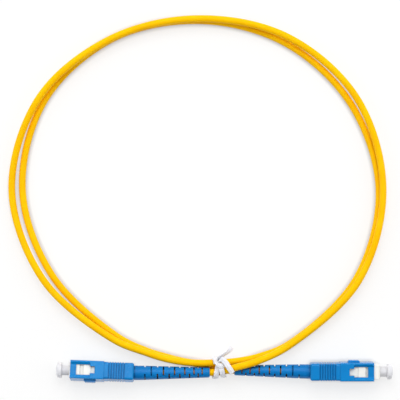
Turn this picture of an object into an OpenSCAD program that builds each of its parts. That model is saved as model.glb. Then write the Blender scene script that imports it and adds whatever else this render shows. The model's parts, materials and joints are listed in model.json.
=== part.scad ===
// Simplex SC to SC fiber optic patch cord, one metre, stored as two loops held by a tie.
// Row frame: +Z up, table at z = 0, origin on the table midway between the two dust caps.
// Each connector is drawn along its own +X, from the nose of its plug frame at x = 0
// back towards the cable, then turned and set down in the row frame by place().

/* [Cable] */
// Outer diameter of the yellow jacket
jacket_d = 2.8; // [2:0.1:3.2]
// Bore of the jacket
jacket_bore = 2; // [1.6:0.05:2.2]
// Outer diameter of the aramid yarn layer
yarn_d = 1.8; // [1.5:0.05:1.8]
// Diameter of the buffered fibre
fibre_d = 0.9; // [0.6:0.05:0.95]

/* [Loops] */
// Mean radius of the turn that lies on top
upper_r = 72.4; // [60:0.1:90]
// Mean radius of the turn that lies on the table
lower_r = 70.8; // [60:0.1:90]
// How far the long axis of the upper turn stands out from its mean radius
upper_oval = 2.8; // [0:0.1:4]
// How far the long axis of the lower turn stands out from its mean radius
lower_oval = 2.2; // [0:0.1:4]
// How far the three flattened corners of the upper turn stand out
upper_lobe = 0.9; // [0:0.1:1.5]
// How far the three flattened corners of the lower turn stand out
lower_lobe = 0.5; // [0:0.1:1.5]
// Distance kept between the centre lines where one turn rests on the other
rest_distance = 3.5; // [3.4:0.05:4.5]

/* [Sleeve] */
// Width of the outer sleeve across its key
sleeve_w = 7.4; // [7:0.05:7.8]
// Height of the outer sleeve
sleeve_h = 9; // [8.6:0.05:9.4]
// Length of the outer sleeve
sleeve_len = 25.6; // [25:0.1:28]
// Rounding of the long edges of the sleeve
sleeve_edge = 0.4; // [0.2:0.05:0.6]
// How far the sleeve slides on the plug frame
sleeve_travel = 2; // [1:0.1:2.2]
// How far the nose of the frame stands out of a sleeve that is pushed forward
nose_out = 0.4; // [0.1:0.05:0.8]
// Length of the narrower grip at the rear of the sleeve
grip_len = 12; // [10:0.1:13]
// How much lower each face of the grip lies
grip_step = 0.2; // [0.1:0.05:0.3]
// Rounding of the long edges of the grip, between its ribs
grip_edge = 0.9; // [0.6:0.05:1.2]
// Length of the grip in front of its first groove
grip_lead = 2; // [1.5:0.1:3]
// Number of grooves round the grip
groove_count = 7; // [3:1:8]
// Distance from one groove to the next
groove_pitch = 1.02; // [0.9:0.02:1.2]
// Width of a groove
groove_w = 0.5; // [0.3:0.05:0.7]
// Depth of a groove in the narrow sides
groove_depth = 0.2; // [0.1:0.02:0.25]
// Depth of a groove in the windowed faces
face_groove_depth = 0.4; // [0.2:0.05:0.5]
// Length of the key on the side of the sleeve
key_len = 4.8; // [4:0.1:6]
// Width of the key
key_w = 3.8; // [3:0.1:4.4]
// How far the key stands out of the side
key_out = 0.9; // [0.5:0.05:1.2]
// Distance of the key from the front of the sleeve
key_from_front = 5.6; // [4:0.1:7]
// Width of the latch window's front part
window_w = 4.2; // [3.6:0.1:4.6]
// Width of the latch window's rear part
window_neck_w = 2.8; // [2:0.1:3.2]
// Length of the recess at the front of each windowed face
recess_len = 8; // [7:0.1:9]
// Depth of that recess
recess_depth = 0.7; // [0.4:0.05:0.8]
// Chamfer round the rear end of the sleeve
rear_bevel = 0.5; // [0.3:0.05:0.7]
// How far each side wall of the recess slants outwards
recess_slant = 0.9; // [0.4:0.05:1.1]
// Length of the lead-in at the front of each windowed face
lead_in = 1; // [0.5:0.1:1.5]
// Length of the bar in front of each window
bar_len = 2.4; // [1.5:0.1:3]

/* [Plug frame] */
// Width of the plug frame
frame_w = 6.1; // [5.9:0.05:6.3]
// Height of the plug frame
frame_h = 6.7; // [6.5:0.05:7]
// Length of the plug frame
frame_len = 20; // [19.6:0.1:20.4]
// Clearance all round between the frame and the sleeve
frame_play = 0.1; // [0.05:0.01:0.15]
// Bore at the front of the frame, which takes the alignment sleeve
nose_bore = 5; // [4.8:0.05:5.2]
// Depth of that bore
nose_bore_depth = 5.5; // [5:0.1:6]
// Thickness of the web that holds the ferrule's collar
web = 0.7; // [0.5:0.05:0.9]
// Bore of the frame behind the web
rear_bore = 4.8; // [4.6:0.05:5]

/* [Ferrule] */
// Diameter of the ceramic ferrule
ferrule_d = 2.5; // [2.4:0.01:2.6]
// Length of the ceramic ferrule
ferrule_len = 10.5; // [10:0.1:11]
// How far the ferrule stands out of the nose of the frame
ferrule_out = 1.3; // [1:0.05:1.6]
// Diameter of the hole for the bare glass
glass_d = 0.126; // [0.12:0.001:0.14]
// Clearance round everything that runs in a bore of the plug
running_play = 0.15; // [0.1:0.01:0.2]
// Outer diameter of the tail tube behind the collar
tail_d = 2; // [1.8:0.05:2.1]
// How far the ferrule can be pushed back
ferrule_travel = 1.5; // [1:0.1:1.8]

/* [Spring] */
// Wire of the ferrule spring
wire_d = 0.5; // [0.3:0.05:0.6]
// Number of turns of the spring
spring_turns = 6; // [4:1:8]
// Length of the spring at rest
spring_len = 6.3; // [5.5:0.1:7]

/* [Rear body and crimp] */
// Diameter of the crimp stem of the rear body
stem_d = 3.9; // [3.7:0.05:4]
// Length of the crimp stem
stem_len = 7; // [6:0.1:8]
// Thickness of the shoulder that closes the plug frame
shoulder_len = 1; // [0.8:0.1:1.4]
// Bore through the rear body
stem_bore = 2.3; // [2.2:0.05:2.5]
// Wall of the metal crimp ring
crimp_wall = 0.25; // [0.15:0.05:0.3]
// Thickness of the yarn that is crimped on the stem
crimped_yarn = 0.25; // [0.15:0.05:0.3]
// Length of the crimp ring over the jacket
crimp_tail = 4.5; // [3:0.1:6]

/* [Boot] */
// Diameter of the boot at its root
boot_root_d = 5.85; // [5.7:0.05:6]
// Diameter of the boot at its tip
boot_tip_d = 4.1; // [3.9:0.05:4.6]
// Distance from the boot's front edge to its first slot
boot_front_len = 8.5; // [7.5:0.1:9.5]
// Number of slot rings along the boot
slot_count = 12; // [6:1:12]
// Distance between the first two slot rings
slot_pitch = 2.6; // [2.3:0.05:2.7]
// How much shorter each next distance is
slot_pitch_loss = 0.1; // [0.05:0.01:0.15]
// Width of a slot
slot_w = 0.55; // [0.4:0.05:0.8]
// Part of a full turn that an upper or lower slot runs, in degrees
slot_arc = 100; // [70:1:110]
// Part of a full turn that a side slot runs, in degrees
side_slot_arc = 92; // [70:1:100]
// Where the middle of a side slot lies, in degrees from the middle of an upper one
side_slot_at = 79; // [70:1:90]
// Wall that the slots over the crimp ring leave round its bore
blind_wall = 0.5; // [0.4:0.05:0.7]
// Plain length at the tip behind the last slot ring
boot_tip_len = 3; // [2:0.1:4]
// Bore of the boot round the cable
boot_bore = 3; // [2.9:0.05:3.3]
// Clearance between the boot and what it covers
boot_play = 0.1; // [0.05:0.01:0.15]

/* [Dust cap] */
// Diameter of the cap's head
cap_head_d = 6.3; // [5.8:0.1:7]
// Length of the cap's head
cap_head_len = 2.3; // [2:0.05:3.5]
// Diameter of the cap's neck
cap_neck_d = 4.2; // [4:0.05:4.4]
// Length of neck that shows in front of the frame
cap_neck_out = 3.1; // [2:0.1:4]
// How far the neck reaches into the frame
cap_depth = 3.5; // [2.5:0.1:3.8]
// Radial clearance of the cap on the ferrule
cap_play = 0.03; // [0.02:0.01:0.06]

/* [Tie] */
// Width of the flat tie
tie_w = 2.2; // [1.5:0.1:2.6]
// Thickness of the tie
tie_t = 0.6; // [0.4:0.05:0.9]
// Clearance between the tie and the cable
tie_play = 0.2; // [0.1:0.05:0.4]

/* [Lie on the table] */
// Distance from the origin to the nose of each plug frame
nose_x = 62.6; // [60:0.1:70]
// Sideways place of the left nose
left_y = 0.7; // [-1:0.05:1]
// Sideways place of the right nose
right_y = 0.15; // [-1:0.05:1]
// Slant of the left connector, in degrees
left_yaw = -2.2; // [-3:0.1:1]
// How far the left boot leans back from that slant, in degrees
left_lean = 2.5; // [0:0.1:3]
// How far the right boot leans towards the loops, in degrees
right_lean = 1; // [0:0.1:1.5]
// Roll of the left connector on the table, in degrees
left_roll = -12; // [-15:1:0]
// Turn of the left boot on its connector, in degrees
left_boot_turn = -16; // [-30:1:30]
// Turn of the right boot on its connector, in degrees
right_boot_turn = 12; // [-30:1:30]
// How far back the right boot has slipped on its cable
right_boot_slip = 2; // [0:0.1:2.2]

/* [Hidden] */
$fn = 48;
cut = 1;               // how far a cutting solid runs past the face that it cuts
seat_gap = 0.05;       // gap between pieces that are pushed against each other
skin = 0.02;           // thickness of the end sections of a turn of the tie
tie_reach = 20;        // a turn of the tie stays within this of its middle, and above the table
cord_sides = 8;        // sides of the jacket's tube
core_sides = 6;        // sides of the yarn, the fibre and the spring wire
steps = 2;             // rings of the tube from one point of the route to the next
cord_lead = 0.2;       // the cable starts to bend this far inside the tip of each boot
cord_hold = 5;         // and it is held straight for this length before that

// Stations along a connector, measured back from the nose of its frame.
collar_start = nose_bore_depth + web;
ferrule_end = ferrule_len - ferrule_out;
collar_end = max(ferrule_end, collar_start + 2);
spring_end = collar_end + spring_len;
shoulder_end = frame_len + shoulder_len;
stem_end = shoulder_end + stem_len;
tail_end = frame_len - seat_gap;
collar_d = rear_bore - 2 * running_play;
barrel_d = rear_bore - 2 * seat_gap;
spring_mean_d = (tail_d + rear_bore) / 2;
jacket_start = stem_end + 0.8;
yarn_over_d = stem_d + 2 * seat_gap + 2 * crimped_yarn;
crimp_front_d = yarn_over_d + 2 * seat_gap;
crimp_tail_d = jacket_d + 2 * boot_play;
crimp_start = shoulder_end + 0.5;
crimp_step = stem_end + 0.15;
crimp_end = jacket_start + crimp_tail;
boot_knee = stem_end - 0.5;    // behind this a boot may lean away from the axis of its plug
sleeve_cavity_w = frame_w + 2 * frame_play;
sleeve_cavity_h = frame_h + 2 * frame_play;
sleeve_rear_d = boot_root_d + 4 * frame_play;
sleeve_stop = frame_len - nose_out + seat_gap;    // inner shoulder, from the sleeve's front
boot_start = shoulder_end + 1;
boot_first_slot = boot_start + boot_front_len;
boot_end = boot_first_slot + slot_place(slot_count - 1) + boot_tip_len;
shell_bore = crimp_front_d + 2 * crimp_wall + 2 * boot_play;
tail_bore = crimp_tail_d + 2 * crimp_wall + 2 * boot_play;
tail_bore_end = crimp_end + 0.7;

// Where the connectors lie: [nose x, nose y, axis height, yaw, roll, lean of the boot, its turn].
rolled_h = (sleeve_h / 2 - sleeve_edge) * cos(left_roll)
    + (sleeve_w / 2 - sleeve_edge) * abs(sin(left_roll)) + sleeve_edge;
left_place = [-nose_x, left_y, rolled_h, left_yaw, left_roll, left_lean, left_boot_turn];
right_place = [nose_x, right_y, sleeve_h / 2, 180, 0, -right_lean, right_boot_turn];

// The loops: [centre x, centre y, mean radius, oval, its angle, corners, their angle].
lower_turn = [-9.6, 73.6, lower_r, lower_oval, -25, lower_lobe, 36];
upper_turn = [-10.3, 73.8, upper_r, upper_oval, -8, upper_lobe, 50];

// The route where the cable isn't wound: points in millimetres, chosen by hand.
cross_up = [
    [-3.6, -0.1, 5.45], [-1, 0.35, 6.5], [1.6, 1.15, 7.5], [4.6, 2.1, 8], [9, 3.2, 7.7], [14, 4.7, 6.7]
];
cross_over = [
    [-18, 4.4, 4.9], [-11, 3.75, 4.9], [-4, 4, 4.8], [2, 4.1, 4.1], [8, 4.8, 2.9], [14, 6.1, 1.9]
];
cross_under = [
    [-18, 4.4, 1.4], [-12, 3.2, 1.4], [-6.5, 1.9, 1.6], [-1.5, 0.75, 2.8], [1.8, 0.55, 3.95]
];

// The tie: where its two turns lie, its knot and its two tails, in millimetres.
tie_x = [-3.5, -0.6];
tie_knot = [[-3.4, 3, 7], [-2, 4.8, 7.4], [-1.4, 4.6, 7.9], [-0.8, 2.2, 8.3]];
tie_tail_up = [[-1.4, 4.6, 7.9], [0.4, 7.6, 7.6], [2.8, 10.2, 6.6]];
tie_tail_down = [[-1.4, 4.6, 7.9], [1, 4.2, 9.2], [3.2, 0.4, 10]];

loop_step = 30;
loop_angles = [for (a = [-60 : loop_step : 240]) a];

function slot_place(i) = slot_pitch * i - slot_pitch_loss * i * (i - 1) / 2;

// Row-frame place of a point at distance v along a plug's axis, or along its boot's.
function on_axis(place, v) = [
    place[0] + v * cos(place[3]), place[1] + v * sin(place[3]), place[2]
];
function on_boot(place, v) = let(
    knee = on_axis(place, boot_knee), a = place[3] + place[5], past = v - boot_knee
) [knee[0] + past * cos(a), knee[1] + past * sin(a), place[2]];

// Where the cable leaves a crimp ring, is held in the boot, and starts to bend near its tip.
function held(place, slip) = let(
    out = on_axis(place, crimp_end), tip = on_boot(place, boot_end + slip), way = unit(tip - out)
) [out, tip - (cord_lead + cord_hold) * way, tip - cord_lead * way];

// A turn seen from above: an oval with three soft corners.
function turn_radius(turn, a) = turn[2] + turn[3] * cos(2 * (a - turn[4]))
    + turn[5] * cos(3 * (a - turn[6]));
function turn_point(turn, a) = [
    turn[0] + turn_radius(turn, a) * cos(a), turn[1] + turn_radius(turn, a) * sin(a)
];

// The lower turn lies on the table, and the upper one rests on it where they are close.
function lower_point(a) = concat(turn_point(lower_turn, a), [jacket_d / 2]);
function upper_point(a) = let(
    here = turn_point(upper_turn, a),
    apart = min([for (near = [a - 15, a, a + 15])
        norm(turn_point(upper_turn, near) - turn_point(lower_turn, near))]),
    lift = sqrt(max(0, pow(rest_distance, 2) - pow(apart, 2)))
) concat(here, [jacket_d / 2 + lift]);

route = concat(
    [held(left_place, 0)[2]], cross_up,
    [for (a = loop_angles) upper_point(a)], cross_over,
    [for (a = loop_angles) lower_point(a)], cross_under,
    [held(right_place, right_boot_slip)[2]]
);

// A smooth curve through four points, at part t of the way from b to c, by their distances.
function blend(a, b, t) = a + (b - a) * t;
function curve_point(a, b, c, d, t) = let(
    ta = -sqrt(norm(b - a)), tc = sqrt(norm(c - b)), td = tc + sqrt(norm(d - c)), s = t * tc,
    ab = blend(a, b, (s - ta) / -ta), bc = blend(b, c, s / tc), cd = blend(c, d, (s - tc) / (td - tc)),
    abc = blend(ab, bc, (s - ta) / (tc - ta)), bcd = blend(bc, cd, s / td)
) blend(abc, bcd, s / tc);

// The cable lies on the table and never sinks into it.
function on_table(p) = [p[0], p[1], max(p[2], jacket_d / 2)];

// The whole centre line between two stations, one in each connector.
function centre_line(v) = let(
    left = held(left_place, 0), right = held(right_place, right_boot_slip),
    pts = concat([left[1]], route, [right[1]])
) concat(
    [on_axis(left_place, v), left[0], left[1]],
    [for (i = [1 : len(pts) - 3], k = [0 : steps - 1])
        on_table(curve_point(pts[i - 1], pts[i], pts[i + 1], pts[i + 2], k / steps))],
    [right[2], right[1], right[0], on_axis(right_place, v)]
);

function unit(v) = v / norm(v);
function heading(line, i) = unit(line[min(i + 1, len(line) - 1)] - line[max(i - 1, 0)]);

// One ring of a tube round point i of a line, with its first corner at the bottom.
function ring(line, i, r, sides) = let(
    along = heading(line, i), side = unit(cross(along, [0, 0, 1])), up = cross(side, along)
) [for (k = [0 : sides - 1]) line[i] - r * cos(360 * k / sides) * up + r * sin(360 * k / sides) * side];

function line_length(line) = let(
    parts = [for (i = [1 : len(line) - 1]) norm(line[i] - line[i - 1])]
) parts * [for (p = parts) 1];

// Least distance between stretches of a line that are more than a few diameters apart along it.
function least_gap(line, d) = min([
    for (i = [2 : len(line) - 4], j = [i + 5 : len(line) - 3])
        segment_gap(line[i], line[i + 1], line[j], line[j + 1])
]) - d;
function segment_gap(a, b, c, d) = min([
    for (s = [0 : 0.25 : 1], t = [0 : 0.25 : 1]) norm(blend(a, b, s) - blend(c, d, t))
]);

// A solid tube along a line.
module tube(line, d, sides) {
    n = len(line);
    points = [for (i = [0 : n - 1]) each ring(line, i, d / 2, sides)];
    walls = [for (i = [0 : n - 2], k = [0 : sides - 1]) let(
        a = i * sides + k, b = i * sides + (k + 1) % sides
    ) each [[a, b, b + sides], [a, b + sides, a + sides]]];
    ends = [for (k = [1 : sides - 2]) each [[0, k + 1, k], let(o = (n - 1) * sides) [o, o + k, o + k + 1]]];
    polyhedron(points, concat(walls, ends));
}

// A tube with a bore: the outer and inner walls are joined by a flat rim at each end.
module hollow_tube(line, d, bore, sides) {
    n = len(line);
    inner = n * sides;
    points = concat(
        [for (i = [0 : n - 1]) each ring(line, i, d / 2, sides)],
        [for (i = [0 : n - 1]) each ring(line, i, bore / 2, sides)]
    );
    walls = [for (i = [0 : n - 2], k = [0 : sides - 1]) let(
        a = i * sides + k, b = i * sides + (k + 1) % sides
    ) each [
        [a, b, b + sides], [a, b + sides, a + sides],
        [inner + b, inner + a, inner + a + sides], [inner + b, inner + a + sides, inner + b + sides]
    ]];
    rims = [for (k = [0 : sides - 1]) let(
        l = (k + 1) % sides, o = (n - 1) * sides
    ) each [
        [l, k, inner + k], [l, inner + k, inner + l],
        [o + k, o + l, inner + o + l], [o + k, inner + o + l, inner + o + k]
    ]];
    polyhedron(points, concat(walls, rims));
}

// A rectangle with rounded corners, as a list of points.
function rounded(w, h, r) = [for (c = [[1, 1, 0], [-1, 1, 90], [-1, -1, 180], [1, -1, 270]], k = [0 : 3])
    [c[0] * (w / 2 - r) + r * cos(c[2] + 30 * k), c[1] * (h / 2 - r) + r * sin(c[2] + 30 * k)]];

// A bar of rounded rectangular section along X, from one station to another.
module bar(from, to, w, h, r) {
    translate([from, 0, 0]) rotate([90, 0, 90]) linear_extrude(to - from) polygon(rounded(w, h, r));
}

// A round piece turned about X: the profile's points are [station, radius].
module turned(profile) {
    rotate([0, 90, 0]) rotate_extrude() polygon([for (p = profile) [p[1], p[0]]]);
}

// A plain round rod along X, used for bores too.
module rod(from, to, d) {
    translate([from, 0, 0]) rotate([0, 90, 0]) cylinder(h = to - from, d = d);
}

module place(spot) {
    place_level(spot) rotate([spot[4], 0, 0]) children();
}
module place_level(spot) {
    translate([spot[0], spot[1], spot[2]]) rotate([0, 0, spot[3]]) children();
}

// Latch windows in the upper and lower face, behind a bar that lies in a shallow recess.
module sleeve_windows() {
    top = sleeve_h / 2;
    wide = window_w / 2 + recess_slant;
    neck_end = key_from_front + key_len - 0.5;
    for (side = [0, 180]) rotate([side, 0, 0]) {
        translate([-cut, 0, top - recess_depth]) rotate([90, 0, 90]) linear_extrude(recess_len + cut)
            polygon([
                [-window_w / 2, 0], [window_w / 2, 0], [wide, recess_depth],
                [wide, recess_depth + cut], [-wide, recess_depth + cut], [-wide, recess_depth]
            ]);
        translate([bar_len, -window_w / 2, 0]) cube([recess_len - bar_len, window_w, top + cut]);
        translate([recess_len - 0.01, -window_neck_w / 2, 0])
            cube([neck_end - recess_len, window_neck_w, top + cut]);
    }
}

// The slanted lead-in at the front of both windowed faces.
module lead_ins() {
    top = sleeve_h / 2;
    low = top - lead_in * 0.4;
    for (side = [0, 180]) rotate([side, 0, 0]) translate([0, sleeve_w, 0]) rotate([90, 0, 0])
        linear_extrude(2 * sleeve_w)
            polygon([[-cut, low], [0, low], [lead_in, top], [lead_in, top + cut], [-cut, top + cut]]);
}

// The chamfer round the rear end, cut from each of the four faces.
module rear_bevels() {
    from = sleeve_len - rear_bevel;
    to = sleeve_len + cut;
    for (turn = [0 : 90 : 270]) let(face = (turn % 180 == 0 ? sleeve_h : sleeve_w) / 2 - grip_step)
        rotate([turn, 0, 0]) translate([0, sleeve_h, 0]) rotate([90, 0, 0])
            linear_extrude(2 * sleeve_h)
                polygon([[from, face], [to, face - rear_bevel - cut], [to, face + cut], [from, face + cut]]);
}

// The narrower grip: its long edges are cut back, and its ribs keep the full corner.
module grip(from, to) {
    w = sleeve_w - 2 * grip_step;
    h = sleeve_h - 2 * grip_step;
    first = from + grip_lead - groove_w / 2;
    last = first + (groove_count - 1) * groove_pitch + groove_w;
    bar(from, first, w, h, grip_edge);
    bar(first, last, w - 2 * groove_depth, h - 2 * face_groove_depth, sleeve_edge);
    bar(last, to, w, h, grip_edge);
    for (i = [1 : groove_count - 1])
        bar(first + (i - 1) * groove_pitch + groove_w, first + i * groove_pitch, w, h, sleeve_edge);
}

// The wedge-ended key that only lets the plug in one way round.
module key() {
    lead = key_out * 0.5;
    translate([key_from_front, 1 - sleeve_w / 2, -key_w / 2]) linear_extrude(key_w)
        polygon([[0, 0], [key_len, 0], [key_len, -1 - key_out + lead], [key_len - lead, -1 - key_out],
            [lead, -1 - key_out], [0, -1 - key_out + lead]]);
}

// Blue outer sleeve, drawn from its own front edge at x = 0.
module sleeve() {
    grip_start = sleeve_len - grip_len;
    color("#1e78c8") difference() {
        union() {
            bar(0, grip_start, sleeve_w, sleeve_h, sleeve_edge);
            grip(grip_start, sleeve_len);
            key();
        }
        bar(-cut, sleeve_stop, sleeve_cavity_w, sleeve_cavity_h, 0.2);
        rod(sleeve_stop - cut, sleeve_len + cut, sleeve_rear_d);
        sleeve_windows();
        lead_ins();
        rear_bevels();
    }
}

// White plug frame with its latch notches, open at both ends.
module plug_frame() {
    notch_from = 4.2;
    notch_to = 5.8;
    notch_depth = 0.6;
    step_at = 8.7;
    step_depth = 0.25;
    lead = 0.4;
    color("#f0efe8") difference() {
        union() {
            bar(0, lead, frame_w - 2 * lead * 0.6, frame_h - 2 * lead * 0.6, 0.3);
            bar(lead, frame_len, frame_w, frame_h, 0.3);
        }
        rod(-cut, nose_bore_depth, nose_bore);
        rod(-cut, frame_len, ferrule_d + 2 * running_play);
        rod(collar_start, frame_len + cut, rear_bore);
        for (side = [-1, 1]) {
            translate([notch_from, -frame_w, side * frame_h / 2 - notch_depth])
                cube([notch_to - notch_from, 2 * frame_w, 2 * notch_depth]);
            translate([step_at, -frame_w, side * frame_h / 2 - step_depth])
                cube([frame_len - step_at - 3, 2 * frame_w, 2 * step_depth]);
            translate([step_at + 1.5, side * frame_w / 2 - step_depth, -1.2])
                cube([frame_len - step_at - 4.5, 2 * step_depth, 2.4]);
        }
    }
}

// Ceramic ferrule with its chamfered tip and the fine hole for the glass.
module ferrule() {
    chamfer = 0.3;
    tip = -ferrule_out;
    color("#f4f1ea") difference() {
        turned([[tip, 0], [tip, ferrule_d / 2 - chamfer], [tip + chamfer, ferrule_d / 2],
            [ferrule_end, ferrule_d / 2], [ferrule_end, 0]]);
        rod(tip - cut, ferrule_end + cut, glass_d);
    }
}

// Metal collar pressed on the ferrule, with the tail tube that guides the spring.
module ferrule_flange() {
    lip = 0.35;
    color("#b9bcc0") turned([
        [collar_start, ferrule_d / 2], [collar_start, collar_d / 2 - lip], [collar_start + lip, collar_d / 2],
        [collar_end, collar_d / 2], [collar_end, tail_d / 2], [tail_end, tail_d / 2],
        [tail_end, fibre_d / 2 + seat_gap * 2], [ferrule_end, fibre_d / 2 + seat_gap * 2],
        [ferrule_end, ferrule_d / 2]
    ]);
}

// Compression spring on the tail tube: a helix of eight rings a turn.
module spring() {
    from = collar_end + wire_d / 2 + seat_gap;
    to = spring_end - wire_d / 2 - seat_gap;
    rings = 8 * spring_turns;
    r = spring_mean_d / 2;
    helix = [for (i = [0 : rings]) let(a = 360 * i / 8)
        [from + (to - from) * i / rings, r * cos(a), r * sin(a)]];
    color("#9a9da1") spring_wire(helix);
}

// The wire's rings lie in planes through the axis, so neighbouring rings never meet.
module spring_wire(helix) {
    n = len(helix);
    points = [for (i = [0 : n - 1]) let(
        out = unit([0, helix[i][1], helix[i][2]])
    ) each [for (k = [0 : core_sides - 1]) let(a = 360 * k / core_sides)
        helix[i] + wire_d / 2 * (cos(a) * out + [sin(a), 0, 0])]];
    walls = [for (i = [0 : n - 2], k = [0 : core_sides - 1]) let(
        a = i * core_sides + k, b = i * core_sides + (k + 1) % core_sides
    ) each [[b, a, b + core_sides], [b + core_sides, a, a + core_sides]]];
    last = (n - 1) * core_sides;
    ends = [for (k = [1 : core_sides - 2]) each [[0, k, k + 1], [last, last + k + 1, last + k]]];
    polyhedron(points, concat(walls, ends));
}

// Rear body: the barrel closes the frame and holds the spring, and its stem takes the crimp.
module rear_body() {
    knurl = 0.15;
    color("#d8d9da") difference() {
        turned(concat(
            [[spring_end, 0], [spring_end, barrel_d / 2], [frame_len, barrel_d / 2],
                [frame_len, boot_root_d / 2 - 0.1], [shoulder_end, boot_root_d / 2 - 0.1],
                [shoulder_end, stem_d / 2 - knurl]],
            [for (i = [0 : 4]) let(at = shoulder_end + 0.8 + i * 1.2) each
                [[at, stem_d / 2 - knurl], [at, stem_d / 2],
                    [at + 0.7, stem_d / 2], [at + 0.7, stem_d / 2 - knurl]]],
            [[stem_end, stem_d / 2 - knurl], [stem_end, 0]]
        ));
        rod(spring_end - cut, stem_end + cut, stem_bore);
    }
}

// Metal ring crimped over the yarn on the stem, with a narrower tail over the jacket.
module crimp_ring() {
    color("#c9a227") turned([
        [crimp_start, crimp_front_d / 2], [crimp_start, crimp_front_d / 2 + crimp_wall],
        [crimp_step, crimp_front_d / 2 + crimp_wall], [crimp_step + 0.9, crimp_tail_d / 2 + crimp_wall],
        [crimp_end, crimp_tail_d / 2 + crimp_wall], [crimp_end, crimp_tail_d / 2],
        [crimp_step + 0.9, crimp_tail_d / 2], [crimp_step, crimp_front_d / 2]
    ]);
}

// Strain relief boot, drawn where it lies: its root is true to the plug, and the rest may lean.
// Its bore steps down from the crimp ring's shell to its tail and then to the cable.
module boot(spot, slip) {
    way = on_boot(spot, boot_end + slip) - on_axis(spot, crimp_end);
    color("#2a80cc") place_level(spot) difference() {
        translate([slip, 0, 0]) union() {
            boot_root();
            translate([boot_knee, 0, 0]) rotate([0, 0, spot[5]]) translate([-boot_knee, 0, 0])
                rotate([spot[4] + spot[6], 0, 0]) boot_tail();
        }
        rod(boot_start - cut, crimp_step + 1 + slip, shell_bore);
        rod(boot_start - cut, tail_bore_end + slip, tail_bore);
        translate([crimp_end, 0, 0]) rotate([0, 0, atan2(way[1], way[0]) - spot[3]])
            rod(0, norm(way) + cut, boot_bore);
    }
}

// The plain root over the crimp ring.
module boot_root() {
    edge = 0.3;
    turned([
        [boot_start, 0], [boot_start, boot_root_d / 2 - edge], [boot_start + edge, boot_root_d / 2],
        [boot_knee, boot_root_d / 2], [boot_knee, 0]
    ]);
}

// The tapered tail, which bends at its slots: side slots and upper and lower ones take turns.
module boot_tail() {
    tip_round = 0.4;
    start_d = boot_root_d - 0.06;
    difference() {
        turned([
            [boot_knee - 0.5, 0], [boot_knee - 0.5, start_d / 2], [boot_first_slot - 1, start_d / 2],
            [boot_end - tip_round, boot_tip_d / 2], [boot_end, boot_tip_d / 2 - tip_round / 2],
            [boot_end, 0]
        ]);
        for (i = [0 : slot_count - 1]) let(at = boot_first_slot + slot_place(i)) {
            if (i % 2 == 0) for (side = [-1, 1]) boot_slot(at, side * side_slot_at, side_slot_arc);
            if (i % 2 == 1) for (middle = [0, 180]) boot_slot(at, middle, slot_arc);
        }
    }
}

// A slot round part of the boot, with its middle turned from straight up. It is cut through to
// the cable's bore, but where the crimp ring lies inside it leaves a wall.
module boot_slot(at, middle, arc) {
    floor_r = at < tail_bore_end ? tail_bore / 2 + blind_wall : boot_bore / 2 - 0.3;
    translate([at - slot_w / 2, 0, 0]) rotate([middle, 0, 0]) rotate([0, 90, 0])
        rotate([0, 0, 180 - arc / 2]) rotate_extrude(angle = arc)
            translate([floor_r, 0]) square([boot_root_d, slot_w]);
}

// Soft cap with a domed head and a neck that grips the ferrule inside the frame.
module dust_cap() {
    rim = -cap_neck_out;
    dome = 1.1;
    head_r = cap_head_d / 2;
    flat_r = head_r * 0.25;
    end_wall = 0.6;
    dome_steps = 6;
    color("#e4e6ec") difference() {
        turned(concat(
            [[cap_depth, 0], [cap_depth, cap_neck_d / 2 - 0.2], [cap_depth - 0.2, cap_neck_d / 2],
                [rim, cap_neck_d / 2], [rim, head_r - 0.15], [rim - 0.15, head_r],
                [rim - cap_head_len + dome, head_r]],
            [for (k = [1 : dome_steps]) let(a = 90 * k / dome_steps)
                [rim - cap_head_len + dome - dome * sin(a), flat_r + (head_r - flat_r) * cos(a)]],
            [[rim - cap_head_len, 0]]
        ));
        rod(-ferrule_out - end_wall, cap_depth + cut, ferrule_d + 2 * cap_play);
    }
}

// The cable's layers, from the outside in.
module cable_jacket() {
    color("#fcc200") hollow_tube(centre_line(jacket_start), jacket_d, jacket_bore, cord_sides);
}

module aramid_yarn() {
    color("#e8d27a") union() {
        hollow_tube(centre_line(jacket_start + 0.2), yarn_d - 0.06, fibre_d + 0.2, core_sides);
        place(left_place) yarn_skirt();
        place(right_place) yarn_skirt();
    }
}

// The yarn folded back over the crimp stem, under the crimp ring.
module yarn_skirt() {
    inner_d = stem_d + 2 * seat_gap;
    turned([
        [crimp_start, inner_d / 2], [crimp_start, yarn_over_d / 2],
        [stem_end + 0.1, yarn_over_d / 2], [jacket_start, yarn_d / 2], [jacket_start + 0.6, yarn_d / 2],
        [jacket_start + 0.6, fibre_d / 2 + 0.05], [jacket_start, fibre_d / 2 + 0.05],
        [stem_end + 0.1, inner_d / 2]
    ]);
}

module optical_fibre() {
    color("#fff3c0") tube(centre_line(ferrule_end + ferrule_travel + 0.3), fibre_d, core_sides);
}

// Where the cable passes through the plane of the tie, near the connectors.
function strands_at(x) = let(line = centre_line(jacket_start)) [
    for (i = [1 : len(line) - 1]) let(a = line[i - 1], b = line[i])
        if ((a[0] - x) * (b[0] - x) <= 0 && a[1] < 20) blend(a, b, (x - a[0]) / (b[0] - a[0]))
];

// One flat turn of the tie, drawn tight round the strands as they slant through it.
module tie_turn(x) {
    difference() {
        tie_band(x, tie_w / 2, tie_play + tie_t);
        tie_band(x, tie_w / 2 + skin, tie_play);
    }
}
module tie_band(x, half, out) {
    hull() for (side = [-1, 1]) translate([x + side * half, 0, 0]) rotate([90, 0, 90])
        linear_extrude(skin, center = true) tie_outline(strands_at(x + side * half), out);
}
module tie_outline(strands, out) {
    intersection() {
        hull() for (s = strands) translate([s[1], s[2]]) circle(jacket_d / 2 + out, $fn = 32);
        translate([-tie_reach, 0]) square(2 * tie_reach);
    }
}

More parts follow.
